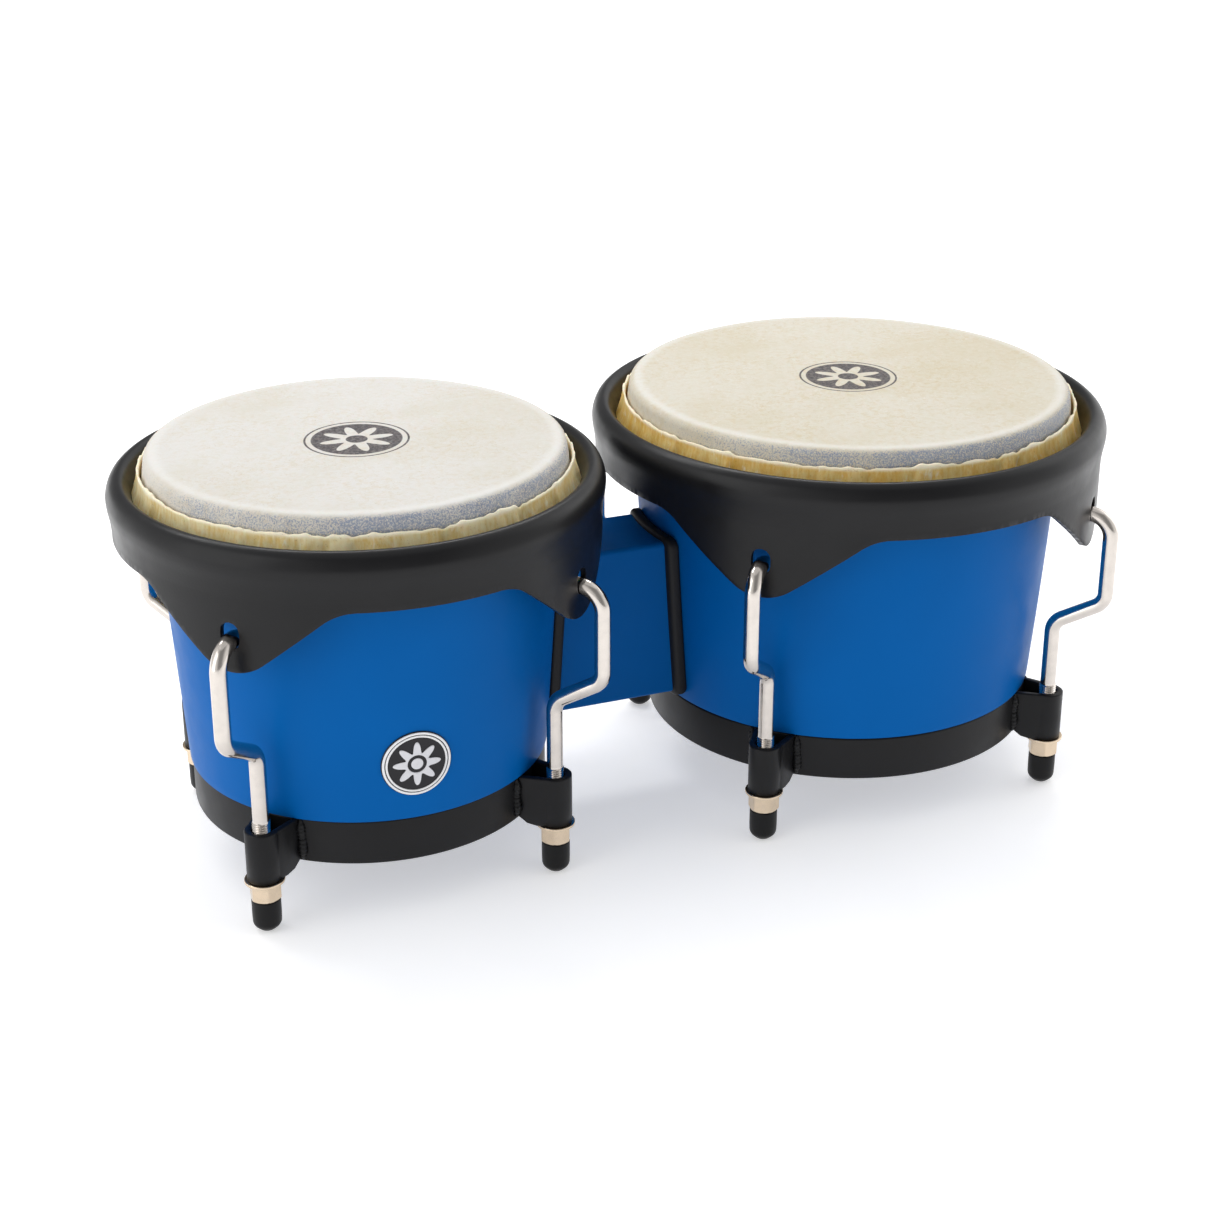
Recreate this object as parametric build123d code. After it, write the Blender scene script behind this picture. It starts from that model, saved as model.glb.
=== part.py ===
from build123d import *
from math import cos, radians, sin
from types import SimpleNamespace
import os

# A pair of bongos, a small drum (macho) and a large drum (hembra), joined by a bridge block.
# Millimetres. Z is up, X runs from the macho to the hembra, the front is at -Y.
# The origin is on the floor, below the middle of the pair.

# ---- driving dimensions -------------------------------------------------------------------
HEAD_TOP = 169.6            # playing surface above the floor
SKIN = 1.0                  # rawhide thickness
SHELL_WALL = 8.0
SHELL_BOTTOM = 26.0
SHELL_TOP = HEAD_TOP - SKIN
SKIN_FOLD = 3.5             # radius of the skin over the bearing edge

MACHO = SimpleNamespace(
    name="macho", x=-111.2, head_r=79.4, shell_low_r=70.4, shell_bulge=0.2,
    ring_r=70.6, rim_r=95.6, lug_r=82.3, ear_half_width=39.6)
HEMBRA = SimpleNamespace(
    name="hembra", x=100.0, head_r=89.8, shell_low_r=80.8, shell_bulge=0.8,
    ring_r=81.9, rim_r=106.8, lug_r=93.1, ear_half_width=42.8)
DRUMS = (MACHO, HEMBRA)
LUG_ANGLES = (-135, -45, 45, 135)

# bottom ring and its lug brackets
RING_BOTTOM = 24.4
RING_TOP = 42.7
RING_WALL = 2.4
BRACKET_BOTTOM = 21.9
BRACKET_TOP = 42.7
BRACKET_R = 6.6             # outside of the loop around the tuning lug
BRACKET_BORE_R = 3.9
BRACKET_FOOT = 8.8          # half width where the strap meets the ring
BRACKET_CHAMFER = 4.8       # side of the corner taken off below each arm, next to the ring

# tuning lug: a round rod, threaded below, with a jog and a hook
ROD_R = 3.15
THREAD_R = 3.5
THREAD_TOP = 46.0
LUG_BOTTOM = 3.0
JOG = 20.4                  # the upper shaft stands this much further out
JOG_LOW = 74.3
JOG_HIGH = 86.3
JOG_BEND_R = 7.5
HOOK_START = 115.0
HOOK_R = 9.5
HOOK_ANGLE = 120
HOOK_END = 6.5

# nut, washer and rubber foot cap, stacked below each bracket
WASHER_R = 7.7
WASHER_BORE_R = 3.8
WASHER_H = 1.2
NUT_FLATS = 11.0
NUT_TOP = BRACKET_BOTTOM - WASHER_H
NUT_BOTTOM = 13.6
NUT_BORE_R = THREAD_R + 0.06
NUT_CHAMFER = 0.7
CAP_R = 5.6
CAP_TOP = 13.4
CAP_FLAT_R = 2.4
CAP_DOME_MIDDLE = (4.715, 1.68)   # radius and height of a point half way round the dome
CAP_DOME_TOP = 4.4

# rim: a pressed sheet with a rolled crest, a skirt and four ears
SHEET = 2.2
SKIRT_IN = 1.4              # the skirt lies this much inside the widest part of the bead
SKIRT_TOP = 141.0
SKIRT_EDGE = 138.4
SKIRT_LOWEST = 105.0
EAR_APEX = 106.9
EAR_TIP_R = 20.0
EAR_ROOT_R = 20.0
SLOT_WIDTH = 7.8
SLOT_BOTTOM = 121.15
SLOT_TOP = 131.7
BEAD = (                    # the sheet above the skirt: distance inside the rim's radius, height,
    (0.9, 146.5, 1.0, 0.0),     # and how far the inner face lies inwards and down, in sheet thicknesses
    (0.1, 151.5, 1.0, 0.0),
    (0.2, 155.0, 0.97, 0.1),
    (1.9, 158.8, 0.75, 0.65),
    (5.0, 160.6, 0.0, 1.0),
    (7.9, 158.4, -0.75, 0.6),
    (10.4, 151.6, -0.95, 0.3))

# folded skin and the steel flesh hoop inside it
COLLAR_GAP = 0.3
COLLAR_TOP = 163.0
COLLAR_THICK = 1.5
COLLAR_BOTTOM = 143.4
HOOP_OUT = 3.6              # hoop centre outside the head wall
HOOP_Z = 147.0
HOOP_R = 2.3
HOOP_WRAP = 1.0
HEAD_FLAT_OUT = 0.9         # the skin's top corner lies this much beyond the bearing edge
HEAD_WALL_OUT = 2.6         # and its wall this much
HEAD_WALL_BEND_R = 8.0
HEAD_WALL_STEEP = 158.0
HEAD_WALL_BOTTOM = 152.0

# bridge between the drums
BLOCK_HALF_WIDTH = 18.0
BLOCK_BOTTOM = 47.0
BLOCK_TOP = 115.0
BLOCK_FILLET = 2.0
GASKET_THICK = 5.0
GASKET_HALF_WIDTH = 21.0
GASKET_BOTTOM = 45.3
GASKET_TOP = 117.0
GASKET_FILLET = 4.5
BRIDGE_ROD_R = 3.0
BRIDGE_HOLE_R = 3.3
BRIDGE_ROD_HEIGHTS = (64.0, 98.0)
PLATE_THICK = 2.5
PLATE_HALF_WIDTH = 14.0
PLATE_MARGIN = 6.0
BRIDGE_NUT_FLATS = 10.0
BRIDGE_NUT_H = 5.0
BRIDGE_ROD_END = 2.5
BRIDGE_NUT_BORE_R = BRIDGE_ROD_R + 0.05

# round badge on the front of the macho
BADGE_R = 13.5
BADGE_THICK = 1.0
BADGE_ANGLE = -91.4
BADGE_Z = 66.5

REACH = 400.0               # longer than anything that it cuts


# ---- helpers ------------------------------------------------------------------------------
def point(r, z):
    """A point of a turned section: radius r and height z."""
    return (r, 0, z)


def turned(*edges):
    """Full turn about Z of the closed outline that the edges make."""
    return revolve(make_face(Curve() + [*edges]), Axis.Z)


def polygon_turned(*corners):
    return turned(Polyline(*[point(r, z) for r, z in corners], close=True))


def tube(r_out, r_in, bottom, top):
    return polygon_turned((r_in, bottom), (r_out, bottom), (r_out, top), (r_in, top))


def rod(radius, bottom, top):
    return polygon_turned((0, bottom), (radius, bottom), (radius, top), (0, top))


def at_lug(solid, drum, angle, radius=0.0):
    """Place a solid made about the Z axis at a lug of a drum, X pointing away from the drum."""
    return Pos(drum.x, 0, 0) * Rot(0, 0, angle) * Pos(radius, 0, 0) * solid


def hexagon_prism(flats, height):
    return extrude(RegularPolygon(flats / 2, 6, major_radius=False), height)


def save(node, solid):
    export_step(solid, f"parts/{node}.step")


# ---- shell --------------------------------------------------------------------------------
def shell_radius(drum, z):
    """Outside radius of the shell, a cone with a slight belly."""
    share = (z - SHELL_BOTTOM) / (SHELL_TOP - SHELL_BOTTOM)
    straight = drum.shell_low_r + share * (drum.head_r - drum.shell_low_r)
    return straight + 4 * drum.shell_bulge * share * (1 - share)


def shell_form(drum, offset, bottom=SHELL_BOTTOM, top=SHELL_TOP):
    """Solid form whose side stands a distance outside the shell's outer surface."""
    middle = (bottom + top) / 2
    side = ThreePointArc(
        point(shell_radius(drum, bottom) + offset, bottom),
        point(shell_radius(drum, middle) + offset, middle),
        point(shell_radius(drum, top) + offset, top))
    frame = Polyline(side @ 1, point(0, top), point(0, bottom), side @ 0)
    return turned(side, frame)


def make_shell(drum):
    outer = shell_form(drum, 0)
    inner = shell_form(drum, -SHELL_WALL)
    ring_seat = tube(drum.head_r + 20, drum.ring_r - RING_WALL, SHELL_BOTTOM - 1, RING_TOP)
    shell = outer - inner - ring_seat
    top_edges = shell.edges().filter_by(GeomType.CIRCLE).group_by(Axis.Z)[-1]
    shell = fillet(top_edges, SKIN_FOLD - SKIN)
    shell = Pos(drum.x, 0, 0) * shell
    for height in BRIDGE_ROD_HEIGHTS:
        shell -= bridge_bore(drum, height)
    return shell


# ---- head ---------------------------------------------------------------------------------
def head_outline(drum, inset):
    """Line of the skin over the bearing edge and down the wall, inset from its outside."""
    flat_z = HEAD_TOP - inset
    top_r = drum.head_r + HEAD_FLAT_OUT
    wall_r = drum.head_r + HEAD_WALL_OUT
    return FilletPolyline(
        point(0, flat_z), point(top_r - inset, flat_z),
        point(wall_r - inset, HEAD_WALL_STEEP), point(wall_r - inset, HEAD_WALL_BOTTOM),
        radius=[SKIN_FOLD - inset, HEAD_WALL_BEND_R])


def make_head(drum):
    outside = head_outline(drum, 0)
    inside = head_outline(drum, SKIN)
    axis_line = Line(inside @ 0, outside @ 0)
    foot_line = Line(outside @ 1, inside @ 1)
    return Pos(drum.x, 0, 0) * turned(outside, foot_line, inside, axis_line)


def hoop_centre(drum):
    return drum.head_r + HEAD_WALL_OUT + HOOP_OUT


def make_flesh_hoop(drum):
    return Pos(drum.x, 0, HOOP_Z) * Torus(hoop_centre(drum), HOOP_R)


def make_head_collar(drum):
    inner_r = drum.head_r + HEAD_WALL_OUT + COLLAR_GAP
    fold = tube(inner_r + COLLAR_THICK, inner_r, COLLAR_BOTTOM + 1, COLLAR_TOP)
    wrap = Pos(0, 0, HOOP_Z) * Torus(hoop_centre(drum), HOOP_R + HOOP_WRAP)
    wrap -= rod(inner_r, COLLAR_BOTTOM - 5, COLLAR_TOP)
    return Pos(drum.x, 0, 0) * (fold + wrap) - make_flesh_hoop(drum)


# ---- rim ----------------------------------------------------------------------------------
def rim_outline(drum, inset):
    """Outer face of the rim sheet from the skirt up over the crest, or its inner face."""
    skirt_r = drum.rim_r - SKIRT_IN - inset
    skirt = Line(point(skirt_r, SKIRT_LOWEST), point(skirt_r, SKIRT_TOP))
    knots = [point(drum.rim_r - inside - inset * inwards, height - inset * down)
             for inside, height, inwards, down in BEAD]
    bead = Spline(skirt @ 1, *knots, tangents=((0, 0, 1), (-0.3, 0, -0.95)))
    return skirt, bead


def ear_cutter(drum):
    """Everything below the rim's scalloped edge, for the quarter around one ear."""
    side = (drum.rim_r - SKIRT_IN) * sin(radians(46))
    half = drum.ear_half_width
    edge = FilletPolyline(
        (0, -side, SKIRT_EDGE), (0, -half, SKIRT_EDGE), (0, 0, EAR_APEX),
        (0, half, SKIRT_EDGE), (0, side, SKIRT_EDGE),
        radius=[EAR_ROOT_R, EAR_TIP_R, EAR_ROOT_R])
    below = SKIRT_LOWEST - 5
    frame = Polyline(edge @ 1, (0, side, below), (0, -side, below), edge @ 0)
    cutter = extrude(make_face(Curve() + [edge, frame]), REACH / 2, dir=(1, 0, 0))
    return Pos(drum.rim_r / 2, 0, 0) * cutter


def ear_slot():
    height = SLOT_TOP - SLOT_BOTTOM
    outline = Plane.YZ * Rot(0, 0, 90) * SlotOverall(height, SLOT_WIDTH)
    return Pos(0, 0, (SLOT_TOP + SLOT_BOTTOM) / 2) * extrude(outline, REACH / 2)


def make_rim(drum):
    skirt, bead = rim_outline(drum, 0)
    inner_skirt, inner_bead = rim_outline(drum, SHEET)
    lip = Line(bead @ 1, inner_bead @ 1)
    hem = Line(inner_skirt @ 0, skirt @ 0)
    rim = turned(skirt, bead, lip, inner_bead, inner_skirt, hem)
    for angle in LUG_ANGLES:
        rim -= Rot(0, 0, angle) * (ear_cutter(drum) + ear_slot())
    return Pos(drum.x, 0, 0) * rim


# ---- bottom ring, brackets and fasteners --------------------------------------------------
def make_bottom_ring(drum):
    return Pos(drum.x, 0, 0) * tube(drum.ring_r, drum.ring_r - RING_WALL, RING_BOTTOM, RING_TOP)


def strap_outline(loop_r, foot, back):
    """Plan of the strap: a loop around the lug that opens towards the ring."""
    return Circle(loop_r) + make_face(Polyline(
        (0, loop_r), (-back, foot), (-back, -foot), (0, -loop_r), close=True))


def make_bracket(drum):
    back = drum.lug_r - drum.ring_r + 2
    strap = BRACKET_R - BRACKET_BORE_R
    outer = strap_outline(BRACKET_R, BRACKET_FOOT, back)
    inner = strap_outline(BRACKET_BORE_R, BRACKET_FOOT - strap, back + 1)
    height = BRACKET_TOP - BRACKET_BOTTOM
    bracket = Pos(drum.lug_r, 0, BRACKET_BOTTOM) * extrude(outer - inner, height)
    corner = Pos(drum.ring_r, 0, BRACKET_BOTTOM) * Rot(0, 45, 0) * Box(
        BRACKET_CHAMFER, REACH, BRACKET_CHAMFER)
    return bracket - corner - rod(drum.ring_r, 0, BRACKET_TOP + 1)


def make_lug(drum):
    high_r = JOG
    bent = FilletPolyline(
        point(0, THREAD_TOP), point(0, JOG_LOW), point(high_r, JOG_HIGH),
        point(high_r, HOOK_START), radius=[JOG_BEND_R, JOG_BEND_R])
    turn = radians(HOOK_ANGLE)
    centre_r = high_r - HOOK_R
    hook = ThreePointArc(
        bent @ 1,
        point(centre_r + HOOK_R * cos(turn / 2), HOOK_START + HOOK_R * sin(turn / 2)),
        point(centre_r + HOOK_R * cos(turn), HOOK_START + HOOK_R * sin(turn)))
    tip = Line(hook @ 1, (hook @ 1) + (hook % 1) * HOOK_END)
    path = Wire([*bent.edges(), *hook.edges(), *tip.edges()])
    shaft = sweep(Plane.XY.offset(THREAD_TOP) * Circle(ROD_R), path=path)
    return shaft + rod(THREAD_R, LUG_BOTTOM, THREAD_TOP)


def make_nut():
    nut = Pos(0, 0, NUT_BOTTOM) * hexagon_prism(NUT_FLATS, NUT_TOP - NUT_BOTTOM)
    corner_r = NUT_FLATS / 2 / cos(radians(30))
    facing = polygon_turned(
        (0, NUT_BOTTOM), (corner_r - NUT_CHAMFER, NUT_BOTTOM), (corner_r, NUT_BOTTOM + NUT_CHAMFER / 2),
        (corner_r, NUT_TOP), (0, NUT_TOP))
    return (nut & facing) - rod(NUT_BORE_R, NUT_BOTTOM - 1, NUT_TOP + 1)


def make_washer():
    return tube(WASHER_R, WASHER_BORE_R, NUT_TOP, BRACKET_BOTTOM)


def make_foot_cap():
    """Rubber cap over the lug's end, domed, with a small flat where it stands."""
    dome = ThreePointArc(
        point(CAP_FLAT_R, 0),
        point(*CAP_DOME_MIDDLE),
        point(CAP_R, CAP_DOME_TOP))
    frame = Polyline(dome @ 1, point(CAP_R, CAP_TOP), point(0, CAP_TOP), point(0, 0), dome @ 0)
    return turned(dome, frame) - rod(THREAD_R, LUG_BOTTOM, CAP_TOP + 1)


# ---- bridge -------------------------------------------------------------------------------
def bridge_bore(drum, height, radius=BRIDGE_HOLE_R):
    """Round bore along X from the drum's axis towards the other drum."""
    bore = Pos(drum.x, 0, height) * Rot(0, 90, 0) * Cylinder(
        radius, REACH / 3, align=(Align.CENTER, Align.CENTER, Align.MIN))
    return bore if drum is MACHO else Pos(-REACH / 3, 0, 0) * bore


def towards_bridge(drum):
    return 1 if drum is MACHO else -1


def bar_along_x(half_width, bottom, top, length=REACH):
    return Pos(0, 0, (bottom + top) / 2) * Box(length, 2 * half_width, top - bottom)


def bridge_middle():
    return Box(HEMBRA.x - MACHO.x, REACH, REACH)


def make_gasket(drum):
    """Curved rubber pad between a shell and the block."""
    bar = bar_along_x(GASKET_HALF_WIDTH, GASKET_BOTTOM, GASKET_TOP)
    bar = fillet(bar.edges().filter_by(Axis.X), GASKET_FILLET)
    middle = Pos((HEMBRA.x + MACHO.x) / 2, 0, 0) * bridge_middle()
    pad = Pos(drum.x, 0, 0) * (shell_form(drum, GASKET_THICK) - shell_form(drum, 0)) & bar & middle
    for height in BRIDGE_ROD_HEIGHTS:
        pad -= bridge_bore(drum, height)
    return pad


def make_bridge_block():
    bar = bar_along_x(BLOCK_HALF_WIDTH, BLOCK_BOTTOM, BLOCK_TOP, HEMBRA.x - MACHO.x)
    bar = fillet(bar.edges().filter_by(Axis.X), BLOCK_FILLET)
    block = Pos((HEMBRA.x + MACHO.x) / 2, 0, 0) * bar
    for drum in DRUMS:
        block -= Pos(drum.x, 0, 0) * shell_form(drum, GASKET_THICK)
    for height in BRIDGE_ROD_HEIGHTS:
        block -= bridge_bore(MACHO, height)
        block -= bridge_bore(HEMBRA, height)
    return block


def make_backing_plate(drum):
    """Curved steel plate inside the shell that spreads the bridge bolts' load."""
    low = BRIDGE_ROD_HEIGHTS[0] - 2 * PLATE_MARGIN
    high = BRIDGE_ROD_HEIGHTS[1] + 2 * PLATE_MARGIN
    bar = bar_along_x(PLATE_HALF_WIDTH, low, high)
    bar = fillet(bar.edges().filter_by(Axis.X), PLATE_MARGIN / 2)
    middle = Pos((HEMBRA.x + MACHO.x) / 2, 0, 0) * bridge_middle()
    layer = shell_form(drum, -SHELL_WALL) - shell_form(drum, -SHELL_WALL - PLATE_THICK)
    plate = (Pos(drum.x, 0, 0) * layer) & bar & middle
    for height in BRIDGE_ROD_HEIGHTS:
        plate -= bridge_bore(drum, height)
    return plate


def plate_face_x(drum, height):
    """Where the bolt axis meets the inner face of the backing plate."""
    inner_r = shell_radius(drum, height) - SHELL_WALL - PLATE_THICK
    return drum.x + towards_bridge(drum) * inner_r


def make_bridge_rod(height):
    over = BRIDGE_NUT_H + BRIDGE_ROD_END
    start = plate_face_x(MACHO, height) - over
    end = plate_face_x(HEMBRA, height) + over
    return Pos(start, 0, height) * Rot(0, 90, 0) * Cylinder(
        BRIDGE_ROD_R, end - start, align=(Align.CENTER, Align.CENTER, Align.MIN))


def make_bridge_nuts(drum):
    """The two nuts on the inner face of one backing plate."""
    plate = make_backing_plate(drum)
    nuts = []
    for height in BRIDGE_ROD_HEIGHTS:
        nut = hexagon_prism(BRIDGE_NUT_FLATS, BRIDGE_NUT_H + 1)
        nut -= rod(BRIDGE_NUT_BORE_R, -1, BRIDGE_NUT_H + 2)
        inward = -90 * towards_bridge(drum)
        seat_x = plate_face_x(drum, height) + towards_bridge(drum)
        nut = Pos(seat_x, 0, height) * Rot(0, inward, 0) * nut
        nuts.append(nut - plate)
    return Compound(children=nuts)


def make_badge():
    disc = Rot(0, 0, BADGE_ANGLE) * Pos(0, 0, BADGE_Z) * Rot(0, 90, 0) * Cylinder(
        BADGE_R, REACH / 3, align=(Align.CENTER, Align.CENTER, Align.MIN))
    layer = shell_form(MACHO, BADGE_THICK) - shell_form(MACHO, 0)
    return Pos(MACHO.x, 0, 0) * (layer & disc)


# ---- the pieces ---------------------------------------------------------------------------
def make_drum(drum):
    save(f"{drum.name}_shell", make_shell(drum))
    save(f"{drum.name}_head", make_head(drum))
    save(f"{drum.name}_head_collar", make_head_collar(drum))
    save(f"{drum.name}_flesh_hoop", make_flesh_hoop(drum))
    save(f"{drum.name}_rim", make_rim(drum))
    save(f"{drum.name}_bottom_ring", make_bottom_ring(drum))
    brackets = [at_lug(make_bracket(drum), drum, angle) for angle in LUG_ANGLES]
    save(f"{drum.name}_lug_brackets", Compound(children=brackets))
    lug_pieces = {
        "tuning_lug": make_lug(drum),
        "nut": make_nut(),
        "washer": make_washer(),
        "foot_cap": make_foot_cap()}
    for number, angle in enumerate(LUG_ANGLES, start=1):
        for piece, solid in lug_pieces.items():
            save(f"{drum.name}_{piece}_{number}", at_lug(solid, drum, angle, drum.lug_r))
    save(f"{drum.name}_gasket", make_gasket(drum))
    save(f"{drum.name}_backing_plate", make_backing_plate(drum))
    save(f"{drum.name}_bridge_nuts", make_bridge_nuts(drum))


def main():
    os.makedirs("parts", exist_ok=True)
    for drum in DRUMS:
        make_drum(drum)
    save("bridge_block", make_bridge_block())
    for label, height in zip(("lower", "upper"), BRIDGE_ROD_HEIGHTS):
        save(f"bridge_rod_{label}", make_bridge_rod(height))
    save("macho_badge", make_badge())


main()
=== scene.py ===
import math
import random

import bpy
import bmesh
import numpy as np
from mathutils import Matrix, Vector
from mathutils.geometry import delaunay_2d_cdt


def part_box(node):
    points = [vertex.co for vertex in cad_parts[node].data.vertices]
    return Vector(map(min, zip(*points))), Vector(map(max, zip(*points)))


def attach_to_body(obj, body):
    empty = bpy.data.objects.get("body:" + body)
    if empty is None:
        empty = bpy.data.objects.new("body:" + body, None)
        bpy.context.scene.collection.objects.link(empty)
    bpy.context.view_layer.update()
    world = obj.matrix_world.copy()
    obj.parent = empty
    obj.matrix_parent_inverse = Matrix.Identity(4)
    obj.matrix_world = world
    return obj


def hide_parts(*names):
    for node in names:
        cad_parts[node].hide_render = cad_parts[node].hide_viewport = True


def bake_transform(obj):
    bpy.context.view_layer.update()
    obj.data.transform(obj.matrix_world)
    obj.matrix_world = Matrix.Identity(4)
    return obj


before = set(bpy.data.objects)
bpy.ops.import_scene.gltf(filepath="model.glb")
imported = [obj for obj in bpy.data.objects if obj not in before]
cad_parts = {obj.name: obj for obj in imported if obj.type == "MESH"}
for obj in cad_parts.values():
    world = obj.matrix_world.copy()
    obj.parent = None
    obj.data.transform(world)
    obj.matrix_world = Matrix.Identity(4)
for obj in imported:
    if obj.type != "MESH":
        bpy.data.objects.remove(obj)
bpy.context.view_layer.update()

MM = 0.001

LUG_ANGLES = (-135, -45, 45, 135)
TURN = 256                  # steps round a drum
PRINT_R = 20.5 * MM         # round print on each head
PETALS = 8                  # of the rosettes on the heads and the badge


# ---- measurements read from the frame --------------------
class Drum:
    """One drum in metres: its centre, radii and heights, mostly from the CAD nodes' boxes."""

    def __init__(self, name, head_r, shell_low_r, shell_bulge, ear_half, seeds):
        self.name = name
        self.body = f"{name}_tuning"
        self.head_r = head_r
        self.shell_low_r = shell_low_r
        self.shell_bulge = shell_bulge
        self.ear_half = ear_half
        self.head_seed, self.fold_seed, self.weld_seed = seeds
        ring_low, ring_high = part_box(f"{name}_bottom_ring")
        rim_low, rim_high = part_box(f"{name}_rim")
        head_low, head_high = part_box(f"{name}_head")
        shell_low, shell_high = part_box(f"{name}_shell")
        cap_low, cap_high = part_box(f"{name}_foot_cap_2")
        self.x = (ring_low.x + ring_high.x) / 2
        self.ring_r = (ring_high.x - ring_low.x) / 2
        self.ring_bottom, self.ring_top = ring_low.z, ring_high.z
        self.rim_r = (rim_high.x - rim_low.x) / 2
        self.head_top = head_high.z
        self.wall_r = (head_high.x - head_low.x) / 2
        self.shell_bottom, self.shell_top = shell_low.z, shell_high.z
        self.collar_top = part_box(f"{name}_head_collar")[1].z
        cap_middle = (cap_low + cap_high) / 2
        self.lug_r = math.hypot(cap_middle.x - self.x, cap_middle.y)

    def node(self, piece):
        return f"{self.name}_{piece}"

    def place(self, angle=0.0, radius=0.0):
        """Matrix from a lug's own frame, X pointing away from the drum, to the row frame."""
        turn = Matrix.Rotation(math.radians(angle), 4, "Z")
        return Matrix.Translation((self.x, 0, 0)) @ turn @ Matrix.Translation((radius, 0, 0))

    def at_lug(self, angle):
        return self.place(angle, self.lug_r)


MACHO = Drum("macho", head_r=79.4 * MM, shell_low_r=70.4 * MM, shell_bulge=0.2 * MM, ear_half=39.6 * MM,
             seeds=(11, 37, 0))
HEMBRA = Drum("hembra", head_r=89.8 * MM, shell_low_r=80.8 * MM, shell_bulge=0.8 * MM, ear_half=42.8 * MM,
              seeds=(23, 41, 100))
DRUMS = (MACHO, HEMBRA)


# ---- mesh helpers --------------------
def make_piece(name, points, faces, finish, smooth_angle=40):
    """Mesh object from points and faces, smooth except across edges sharper than the angle."""
    mesh = bpy.data.meshes.new(name)
    mesh.from_pydata([tuple(p) for p in points], [], [tuple(f) for f in faces])
    mesh.validate()
    tidy = bmesh.new()
    tidy.from_mesh(mesh)
    bmesh.ops.remove_doubles(tidy, verts=tidy.verts, dist=1e-7)
    bmesh.ops.recalc_face_normals(tidy, faces=tidy.faces)
    tidy.to_mesh(mesh)
    tidy.free()
    mesh.polygons.foreach_set("use_smooth", [True] * len(mesh.polygons))
    mesh.set_sharp_from_angle(angle=math.radians(smooth_angle))
    piece = bpy.data.objects.new(name, mesh)
    bpy.context.scene.collection.objects.link(piece)
    mesh.materials.append(finish)
    return piece


def grid_faces(rows, columns, close_rows=False, close_columns=False):
    """Quads over a grid of points stored row by row."""
    faces = []
    for i in range(rows if close_rows else rows - 1):
        for j in range(columns if close_columns else columns - 1):
            a, b = i, (i + 1) % rows
            c, d = j, (j + 1) % columns
            faces.append((a * columns + c, a * columns + d, b * columns + d, b * columns + c))
    return faces


def rounded(corners, radii, steps=6, close=True):
    """Polyline in the plane with each corner turned into an arc of the given radius."""
    line = []
    count = len(corners)
    for k, (corner, radius) in enumerate(zip(corners, radii)):
        here = np.array(corner, float)
        if radius <= 0 or (not close and k in (0, count - 1)):
            line.append(here)
            continue
        back = np.array(corners[k - 1], float) - here
        ahead = np.array(corners[(k + 1) % count], float) - here
        back, ahead = back / np.linalg.norm(back), ahead / np.linalg.norm(ahead)
        half = math.acos(np.clip(back @ ahead, -1, 1)) / 2
        reach = radius / math.tan(half)
        middle = (back + ahead) / np.linalg.norm(back + ahead)
        centre = here + middle * radius / math.sin(half)
        start, end = here + back * reach - centre, here + ahead * reach - centre
        sweep = math.pi - 2 * half
        for t in np.linspace(0, 1, steps + 1):
            a, b = math.sin((1 - t) * sweep), math.sin(t * sweep)
            line.append(centre + (a * start + b * end) / math.sin(sweep))
    return np.array(line)


def curve_through(points, steps):
    """Catmull-Rom curve through the points, with the given steps between neighbours."""
    p = np.array(points, float)
    p = np.vstack([2 * p[0] - p[1], p, 2 * p[-1] - p[-2]])
    line = []
    for k in range(1, len(p) - 2):
        for t in np.arange(steps) / steps:
            a, b, c, d = p[k - 1], p[k], p[k + 1], p[k + 2]
            line.append(0.5 * (2 * b + (c - a) * t + (2 * a - 5 * b + 4 * c - d) * t ** 2
                               + (3 * b - a - 3 * c + d) * t ** 3))
    line.append(p[-2])
    return np.array(line)


def polar(radius, angle, z):
    return (radius * math.cos(angle), radius * math.sin(angle), z)


def turned(section, steps=TURN, closed=True):
    """Points and faces of a section of (radius, height) turned about Z."""
    angles = np.arange(steps) * 2 * math.pi / steps
    points = [polar(r, a, z) for r, z in section for a in angles]
    return points, grid_faces(len(section), steps, close_rows=closed, close_columns=True)


def placed(points, matrix):
    return [matrix @ Vector(p) for p in points]


def attach(piece, body, slot, *nodes):
    """Rides a piece on a body and hides the CAD nodes it stands for; the slot is not used."""
    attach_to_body(piece, body)
    if nodes:
        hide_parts(*nodes)


def tube_along(path, radii, sides):
    """Round bar with closed ends along a path of 3-D points, with a radius for each point."""
    path = np.array(path, float)
    tangents = np.gradient(path, axis=0)
    tangents /= np.linalg.norm(tangents, axis=1)[:, None]
    side = np.cross(tangents[0], (0.0, 1.0, 0.0))
    if np.linalg.norm(side) < 1e-6:
        side = np.cross(tangents[0], (1.0, 0.0, 0.0))
    points = []
    for k, (here, along) in enumerate(zip(path, tangents)):
        side = side - along * (side @ along)
        side /= np.linalg.norm(side)
        other = np.cross(along, side)
        for j in range(sides):
            angle = 2 * math.pi * j / sides
            points.append(here + radii[k] * (math.cos(angle) * side + math.sin(angle) * other))
    faces = grid_faces(len(path), sides, close_columns=True)
    faces.append(tuple(range(sides))[::-1])
    faces.append(tuple(range((len(path) - 1) * sides, len(path) * sides)))
    return points, faces


def soften(piece, width, segments=3, angle=35):
    """Rounds a piece's hard edges for good, and keeps its flat faces flat."""
    bevel = piece.modifiers.new("soft_edges", "BEVEL")
    bevel.width = width
    bevel.segments = segments
    bevel.limit_method = "ANGLE"
    bevel.angle_limit = math.radians(angle)
    bevel.miter_outer = "MITER_ARC"
    bevel.harden_normals = False
    weights = piece.modifiers.new("flat_faces", "WEIGHTED_NORMAL")
    weights.keep_sharp = False
    settle(piece)
    piece.data.set_sharp_from_angle(angle=math.radians(60))


def settle(piece):
    """Applies every modifier, so the mesh is final."""
    graph = bpy.context.evaluated_depsgraph_get()
    mesh = bpy.data.meshes.new_from_object(piece.evaluated_get(graph))
    piece.modifiers.clear()
    piece.data = mesh


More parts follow.
